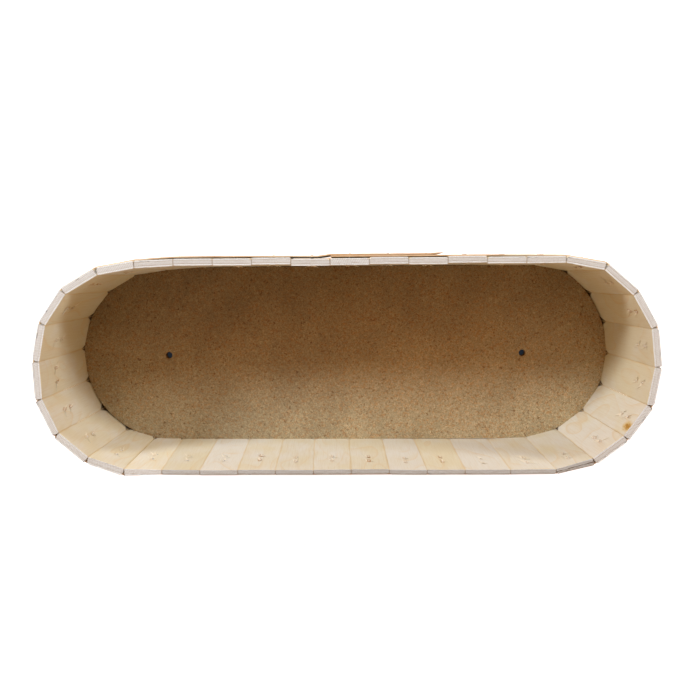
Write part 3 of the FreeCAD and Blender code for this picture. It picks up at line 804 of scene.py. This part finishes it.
class StaveSolid:
    """A stave with rounded arrises, torn sawn ends with sunk glue lines, and splinters at its staple's tips.

    It is built in the stave's own frame, with the inner face at y = 0 and the outer face behind it.
    """

    COLUMNS = 34
    LEVELS = 15

    def __init__(self, place, look, number):
        self.look = look
        self.tips = place.tips
        self.name = f"stave_{number:02d}_wood"
        self.width = place.width + 2 * look.seam
        self.thickness = place.thickness
        self.height = place.height
        self.offset = Vector((number * 13.7, number * 5.3, number * 7.9))
        self.slides = [ASKEW.get(beside, 0.0) * MM for beside in (number, number % len(STAVE_NODES) + 1)]
        noise.seed_set(number)
        chips = [0.6 + 0.9 * abs(noise.random_vector()[0]) for _ in range(4)]
        self.inner_arrises = [look.inner_arris * chip for chip in chips[:2]]
        self.outer_arrises = [look.outer_arris * (0.75 + 0.25 * chip) for chip in chips[2:]]
        self.broken = [
            (look.chip * max(0.0, noise.random_vector()[0]) ** 0.5 * part, corner)
            for part, corner in (
                (0.45, (0.0, 0.0)),
                (0.45, (self.width, 0.0)),
                (1.0, (0.0, -self.thickness)),
                (1.0, (self.width, -self.thickness)),
            )
        ]

    def rough(self, x, y, z, per_mm):
        return noise.noise(Vector((x, y, z)) / MM * per_mm + self.offset)

    def sides(self):
        """The inner, right, outer and left sides of the stave's outline, from corner to corner."""
        look, width, thickness = self.look, self.width, self.thickness
        steps = [width * part for part in spread(self.COLUMNS, 0.06)]
        core, groove = thickness - 2 * look.veneer, 0.14 * MM
        layers = [0.55 * look.veneer, look.veneer - groove, look.veneer, look.veneer + groove]
        layers.append(look.veneer + core / 3)
        layers += [thickness - layer for layer in reversed(layers)]
        (inner_left, inner_right), (outer_left, outer_right) = self.inner_arrises, self.outer_arrises
        inner = rounded_side(width, inner_left, inner_right, steps)
        right = rounded_side(thickness, inner_right, outer_right, layers)
        outer = rounded_side(width, outer_left, outer_right, steps)
        left = rounded_side(thickness, inner_left, outer_left, layers)
        return (
            [(along, -back) for along, back in inner],
            [(width - back, -along) for along, back in right],
            [(along, back - thickness) for along, back in outer],
            [(back, -along) for along, back in left],
        )

    def worn(self, x, y, z, inset):
        """A point of the outline, drawn in by the inset, with the wear that it has there."""
        width, thickness = self.width, self.thickness
        inset *= 0.75 + 0.9 * abs(self.rough(x, y, z, 0.35))
        for size, corner in self.broken:
            away = math.dist((x, y, z), (*corner, self.height))
            if away < size * 1.6:
                pull = (size - away / 1.6) * 0.5
                x += math.copysign(pull, width / 2 - corner[0])
                y += math.copysign(pull, -thickness / 2 - corner[1])
        x = width / 2 + (x - width / 2) * (1 - 2 * inset / width)
        y = -thickness / 2 + (y + thickness / 2) * (1 - 2 * inset / thickness)
        if y > -thickness / 2:
            cup = self.look.cup
            bow = cup * self.rough(x, 0.0, z, 0.05) - abs(cup * self.rough(x, 0.0, z, 0.4)) * 0.5
            y += min(bow, 0.0)
        return x, y, z

    def heights(self):
        """The levels of the outline, each with how far it is drawn in."""
        ease = self.look.end_arris
        low = [(0.0, ease), (0.3 * ease, 0.3 * ease), (ease, 0.0), (2.5 * ease, 0.0), (6 * ease, 0.0)]
        high = [(self.height - rise, inset) for rise, inset in reversed(low)]
        return low + [(self.height * part, 0.0) for part in spread(self.LEVELS, 0.03)] + high

    def close(self, mesh, loop, rise, up, counts, depths):
        """Fill an end with rows of faces, torn by the saw and sunk along the glue lines."""
        across_count, through_count = counts
        count = len(loop)
        rows = [[None] * across_count for _ in range(through_count)]
        for index in range(across_count):
            rows[0][index] = loop[index]
            rows[-1][index] = loop[(across_count - 1) + (through_count - 1) + (across_count - 1 - index)]
        for index in range(through_count):
            rows[index][-1] = loop[(across_count - 1 + index) % count]
            rows[index][0] = loop[(count - index) % count]
        for row in range(1, through_count - 1):
            down = row / (through_count - 1)
            y = depths[row]
            for column in range(1, across_count - 1):
                along = column / (across_count - 1)
                ends = rows[row][0].co.lerp(rows[row][-1].co, along)
                faces = rows[0][column].co.lerp(rows[-1][column].co, down)
                inner = rows[0][0].co.lerp(rows[0][-1].co, along)
                outer = rows[-1][0].co.lerp(rows[-1][-1].co, along)
                x = (faces + ends - inner.lerp(outer, down)).x
                rows[row][column] = mesh.verts.new((x, y, rise - up * self.sunk(x, y)))
        for lower, upper in zip(rows, rows[1:]):
            for column in range(across_count - 1):
                quad = (lower[column], upper[column], upper[column + 1], lower[column + 1])
                mesh.faces.new(quad if up > 0 else quad[::-1])

    def sunk(self, x, y):
        """How deep a point of a sawn end lies."""
        veneer = self.look.veneer
        on_glue = min(abs(-y - veneer), abs(-y - self.thickness + veneer)) < 1e-6
        tear = self.look.end_tear * max(self.rough(x, y, 0, 0.9), self.rough(x, 3 * y, 0, 0.25), 0.0)
        return (self.look.glue_groove if on_glue else 0) + tear

    def slid(self, x, z):
        """How far along a point has moved where the row is askew."""
        part = x / self.width
        left, right = self.slides
        return (left * (1 - part) + right * part) * (1 - z / self.height) - self.look.seam

    def build(self):
        inner, right, outer, left = self.sides()
        ring = inner[:-1] + right[:-1] + outer[:0:-1] + left[:0:-1]
        counts = len(inner), len(left)
        depths = [y for _, y in left]
        mesh = bmesh.new()
        loops = [
            [mesh.verts.new(self.worn(x, y, rise, inset)) for x, y in ring] for rise, inset in self.heights()
        ]
        for below, above in zip(loops, loops[1:]):
            for index in range(len(ring)):
                after = (index + 1) % len(ring)
                mesh.faces.new((below[after], below[index], above[index], above[after]))
        self.close(mesh, loops[0], 0.0, -1, counts, depths)
        self.close(mesh, loops[-1], self.height, 1, counts, depths)
        torn = mesh.verts.layers.float.new("torn")
        spot = mesh.verts.layers.float_vector.new("spot")
        for tip in self.tips:
            add_mound(mesh, tip, self.look.splinter, torn)
            for _ in range(6):
                add_sliver(mesh, tip, self.look.splinter, torn)
        for vertex in mesh.verts:
            vertex[spot] = vertex.co / MM
            vertex.co.x += self.slid(vertex.co.x, vertex.co.z)
        bmesh.ops.recalc_face_normals(mesh, faces=mesh.faces)
        return finished(mesh, self.name, 35)


def add_mound(mesh, tip, reach, torn):
    """The low torn mound that a staple's tip has pushed up; the fresh wood shows at its top."""
    around = 12
    rings = []
    lean = 0.3 * noise.random_vector()[0]
    profile = ((1.0, TORN_ROOT, 0), (0.86, 0.02 * MM, 0), (0.5, 0.34 * MM, 0.5), (0.2, 0.48 * MM, 1))
    for out, rise, fresh in profile:
        ring = []
        for index in range(around):
            angle = 2 * math.pi * index / around
            ragged = 1 + 0.3 * noise.random_vector()[0] * out
            x = tip.x + 0.13 * reach * out * ragged * math.cos(angle)
            z = tip.z + (0.22 * out * math.sin(angle) + lean * (1 - out)) * reach * ragged
            corner = mesh.verts.new((x, rise * (1 + 0.35 * noise.random_vector()[1]), z))
            corner[torn] = fresh
            ring.append(corner)
        rings.append(ring)
    for lower, upper in zip(rings, rings[1:]):
        for index in range(around):
            after = (index + 1) % around
            mesh.faces.new((lower[index], lower[after], upper[after], upper[index]))
    mesh.faces.new(rings[0][::-1])
    mesh.faces.new(rings[-1])


def add_sliver(mesh, tip, reach, torn):
    """A thin sliver that stands off the face, up or down the stave from a staple's tip."""
    way = noise.random_vector()
    side = 0.22 * reach * way[0]
    heading = 1 if way[1] > 0 else -1
    long = reach * (0.40 + 0.55 * abs(way[2]))
    wide = 0.062 * reach * (0.6 + 0.6 * abs(way[1]))
    lift = 0.85 * MM * (0.4 + 1.2 * abs(way[0]))
    drift = 0.9 * long * way[1]

    corners = [Vector((tip.x + side + edge * wide, TORN_ROOT, tip.z)) for edge in (-1, 1)]
    corners += [
        Vector((tip.x + side + 0.5 * drift + edge * 0.7 * wide, 0.5 * lift, tip.z + heading * 0.55 * long))
        for edge in (-1, 1)
    ]
    corners.append(Vector((tip.x + side + drift, lift, tip.z + heading * long)))
    under = Vector((0, -0.12 * MM, 0))
    top = [mesh.verts.new(corner) for corner in corners]
    low = [mesh.verts.new(corner + under) for corner in corners]
    for corner in (*top, *low):
        corner[torn] = 1.0 if way[2] > -0.3 else 0.2
    for face in ((0, 1, 3, 2), (2, 3, 4)):
        mesh.faces.new([top[index] for index in face])
        mesh.faces.new([low[index] for index in reversed(face)])
    for one, two in ((0, 1), (1, 3), (3, 4), (4, 2), (2, 0)):
        mesh.faces.new((top[one], low[one], low[two], top[two]))


class OVALBOX_OT_staves(Operator):
    """Dress each stave as bare three-ply, torn where the staples come through"""

    bl_idname = "ovalbox.staves"
    bl_label = "Staves"

    def execute(self, context):
        look = context.scene.ovalbox_staves
        finish = Plywood(look).build()
        ring = Ring()
        for number, (name, place) in enumerate(zip(STAVE_NODES, ring.places), 1):
            mesh = StaveSolid(place, look, number).build()
            ring.settle_stave(mesh, number - 1)
            piece = dress(f"{name}_wood", mesh, finish, name, place.matrix)
            noise.seed_set(100 + number)
            way = noise.random_vector()
            combed, in_front = number in COMBED, number in FRONT
            piece["seed"] = float(number)
            piece["width"] = (place.width + 2 * look.seam) / MM
            for key, tip in zip(("tip_low", "tip_high"), place.tips):
                piece[key] = [part / MM for part in tip]
            piece["stain"] = STAINED.get(number, 0.2 + 0.5 * max(way[0], 0.0))
            # On the front wall, tone also carries painted shade.
            piece["tone"] = (look.front_painted_shade if in_front else 1.0) + 0.02 * way[1]
            piece["pale"] = PALE.get(number, 0.45 + 0.45 * way[2])
            # Painted shade on the front wall's ends; 1.0 elsewhere.
            piece["end_painted_shade"] = look.front_end_painted_shade if in_front else 1.0
            piece["split"] = 1.0 if number in SPLIT else 0.0
            # How strong the painted shade in the gaps above the floor is.
            piece["painted_gap_shade_amount"] = 1.0 if number in ROUND else 0.25
            # How much painted shade darkens the broken outer corners.
            piece["painted_notch_shade"] = NOTCHED.get(number, 0.15)
            piece["combed"] = 1.0 if combed else 0.0
            piece["core_shown"] = 0.25 if combed else 0.4
            piece["pocket"] = PITCH_POCKET.get(number, NO_POCKET)
        return {"FINISHED"}


class OVALBOX_OT_board(Operator):
    """Build the floor board of brown fibreboard, with its sawn edge and its two drain holes"""

    bl_idname = "ovalbox.board"
    bl_label = "Floor board"

    def execute(self, context):
        look = context.scene.ovalbox_board
        mesh = worn_slab("base_board", look.edge, look.waver, 2.5 * MM)
        ring = Ring()
        ring.settle(mesh, look.yielding)
        back_right = (ring.half + 0.42 * ring.reach, 0.85 * ring.reach)
        fade = 40 * MM
        for vertex in mesh.vertices:
            if ring.at_the_wall(vertex.co):
                near = max(0.0, 1 - math.dist(vertex.co.xy, back_right) / fade)
                vertex.co -= ring.to_axis(vertex.co).normalized() * look.overlap * near
        dress("floor_board", mesh, fibreboard(look), "base_board")
        return {"FINISHED"}


class OVALBOX_OT_bands(Operator):
    """Build both bands of thin bent wood, lapped at the back"""

    bl_idname = "ovalbox.bands"
    bl_label = "Bands"

    def execute(self, context):
        look = context.scene.ovalbox_bands
        finish = bent_wood(look)
        ring = Ring()
        slack_middle, slack_reach = -75 * MM, 65 * MM
        for name in BAND_NODES:
            mesh = worn_slab(name, look.edge, look.waver, 3.0 * MM)
            ring.settle(mesh)
            for vertex in mesh.vertices:
                if vertex.co.y > ring.reach:
                    beside = (vertex.co.x - slack_middle) / slack_reach
                    vertex.co.y += look.slack * max(0.0, 1 - beside**2)
                    vertex.co = within_cad_box(vertex.co)
            dress(f"{name}_wood", mesh, finish, name)
        return {"FINISHED"}


class OVALBOX_OT_staples(Operator):
    """Build the staples of flat drawn wire"""

    bl_idname = "ovalbox.staples"
    bl_label = "Staples"

    def execute(self, context):
        look = context.scene.ovalbox_staples
        finish = staple_wire(look)
        ring = Ring()
        for name in STAPLE_NODES:
            mesh = rounded_wire(name, look.round_off)
            ring.settle(mesh)
            dress(f"{name}_wire", mesh, finish, name)
        return {"FINISHED"}


def add_lamp(name, turn, rise, side, lamp_power):
    """A square soft lamp aimed at the tub, at degrees clockwise from the back and above the horizon."""
    lamp = bpy.data.lights.new(name, "AREA")
    lamp.size = side
    lamp.energy = lamp_power
    turn, rise = math.radians(turn), math.radians(rise)
    way = Vector((math.sin(turn) * math.cos(rise), math.cos(turn) * math.cos(rise), math.sin(rise)))
    light = link(name, lamp)
    light.location = LAMP_AIM + way * LAMP_DISTANCE
    light.rotation_euler = (-way).to_track_quat("-Z", "Y").to_euler()


def seen(tree):
    """Whether a ray shows the surface to the eye: straight, in a gloss or through glass."""
    path = tree.nodes.new("ShaderNodeLightPath")
    total = path.outputs["Is Camera Ray"]
    for name in ("Is Glossy Ray", "Is Transmission Ray"):
        both = tree.nodes.new("ShaderNodeMath")
        both.operation = "MAXIMUM"
        tree.links.new(total, both.inputs[0])
        tree.links.new(path.outputs[name], both.inputs[1])
        total = both.outputs[0]
    return total


def white_paper(look):
    """Matt white paper that shows white wherever the object doesn't shade it; under the tub and in a rim
    round its foot it is painted black as painted shade, with a dim painted glow seen through the drain holes
    and gaps.
    """
    make = Finish("white_paper")
    make.tree.nodes.remove(make.shader)
    paper = make.node("BsdfDiffuse")
    points = node_points("base_board")
    reach = max(point.y for point in points)
    half = max(point.x for point in points) - reach
    x, y, _ = make.split(make.node("TexCoord").outputs["Object"])
    past = make.math("MAXIMUM", make.less(make.size(x), half), 0.0)
    away = make.vector("LENGTH", make.join(past, y, 0.0))
    # clear is 0 under the tub and in a rim of 5 to 8 mm round its foot, where the paper is painted black as
    # painted shade.
    clear = make.span(away, reach + 5 * MM, reach + 8 * MM)
    # Painted glow under the tub: blue-grey under the drain holes, near black towards the walls.
    under = make.mix(make.span(away, 0.3 * reach, 0.6 * reach), look.painted_hole_glow, look.painted_gap_glow)
    glow = make.node("Emission")
    make.feed(glow.inputs["Color"], make.mix(clear, under, look.glow))
    make.feed(glow.inputs["Strength"], seen(make.tree))
    # Painted shade: the paper's own colour is black wherever clear is 0.
    make.feed(paper.inputs["Color"], make.shade((0.8, 0.8, 0.8), clear))
    both = make.node("AddShader")
    make.feed(both.inputs[0], paper.outputs[0])
    make.feed(both.inputs[1], glow.outputs[0])
    make.feed(make.tree.nodes["Material Output"].inputs["Surface"], both.outputs[0])
    return make.material


def studio_world(look):
    """A world that gives a soft tinted light and shows white."""
    world = bpy.data.worlds.new("studio")
    world.use_nodes = True
    tree = world.node_tree
    ambient = tree.nodes["Background"]
    ambient.inputs["Color"].default_value = (*look.ambient_tint, 1.0)
    ambient.inputs["Strength"].default_value = look.ambient
    backdrop = tree.nodes.new("ShaderNodeBackground")
    backdrop.inputs["Color"].default_value = (1.0, 1.0, 1.0, 1.0)
    both = tree.nodes.new("ShaderNodeMixShader")
    tree.links.new(seen(tree), both.inputs[0])
    tree.links.new(ambient.outputs[0], both.inputs[1])
    tree.links.new(backdrop.outputs[0], both.inputs[2])
    tree.links.new(both.outputs[0], tree.nodes["World Output"].inputs["Surface"])
    return world


class OVALBOX_OT_stage(Operator):
    """Set the white paper, the lights and the camera"""

    bl_idname = "ovalbox.stage"
    bl_label = "Stage"

    def execute(self, context):
        scene = context.scene
        look = scene.ovalbox_stage
        ground = bpy.data.meshes.new("paper")
        sheet = bmesh.new()
        bmesh.ops.create_grid(sheet, x_segments=1, y_segments=1, size=4.0)
        sheet.to_mesh(ground)
        sheet.free()
        ground.materials.append(white_paper(look))
        link("paper", ground)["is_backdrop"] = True

        add_lamp("left_window", -49, 27, 0.28, look.left_power)
        add_lamp("right_window", 60, 18, 0.28, look.right_power)
        add_lamp("back_window", -9, 38, 0.42, look.back_power)
        add_lamp("front_fill", 180, 9, 0.4, look.fill_power)
        scene.world = studio_world(look)
        scene.view_settings.view_transform = "Standard"

        lens = bpy.data.cameras.new("camera")
        lens.sensor_width = 36.0
        lens.lens = 34.971
        camera = link("camera", lens)
        camera.location = (0.00519, 0.06286, 0.52608)
        camera.rotation_euler = [math.radians(turn) for turn in (-6.612, 0.136, -0.441)]
        scene.camera = camera
        return {"FINISHED"}


class OVALBOX_PT_panel(Panel):
    """The pieces of the oval box, one button each"""

    bl_idname = "OVALBOX_PT_panel"
    bl_label = "Oval stave box"
    bl_space_type = "VIEW_3D"
    bl_region_type = "UI"
    bl_category = "Oval box"

    def draw(self, context):
        for operator in OPERATORS:
            self.layout.operator(operator.bl_idname)


SETTINGS = {
    "ovalbox_staves": StaveSettings,
    "ovalbox_board": BoardSettings,
    "ovalbox_bands": BandSettings,
    "ovalbox_staples": StapleSettings,
    "ovalbox_stage": StageSettings,
}
OPERATORS = (OVALBOX_OT_staves, OVALBOX_OT_board, OVALBOX_OT_bands, OVALBOX_OT_staples, OVALBOX_OT_stage)


def register():
    for item in (*SETTINGS.values(), *OPERATORS, OVALBOX_PT_panel):
        bpy.utils.register_class(item)
    for name, group in SETTINGS.items():
        setattr(bpy.types.Scene, name, PointerProperty(type=group))


def unregister():
    for name in SETTINGS:
        delattr(bpy.types.Scene, name)
    for item in reversed((*SETTINGS.values(), *OPERATORS, OVALBOX_PT_panel)):
        bpy.utils.unregister_class(item)


def main():
    register()
    bpy.ops.ovalbox.staves()
    bpy.ops.ovalbox.board()
    bpy.ops.ovalbox.bands()
    bpy.ops.ovalbox.staples()
    bpy.ops.ovalbox.stage()
    sizes = {"cad": cad_bounds, "visual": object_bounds()}
    sizes = {name: [list(corner) for corner in corners] for name, corners in sizes.items()}


if __name__ == "__main__":
    main()
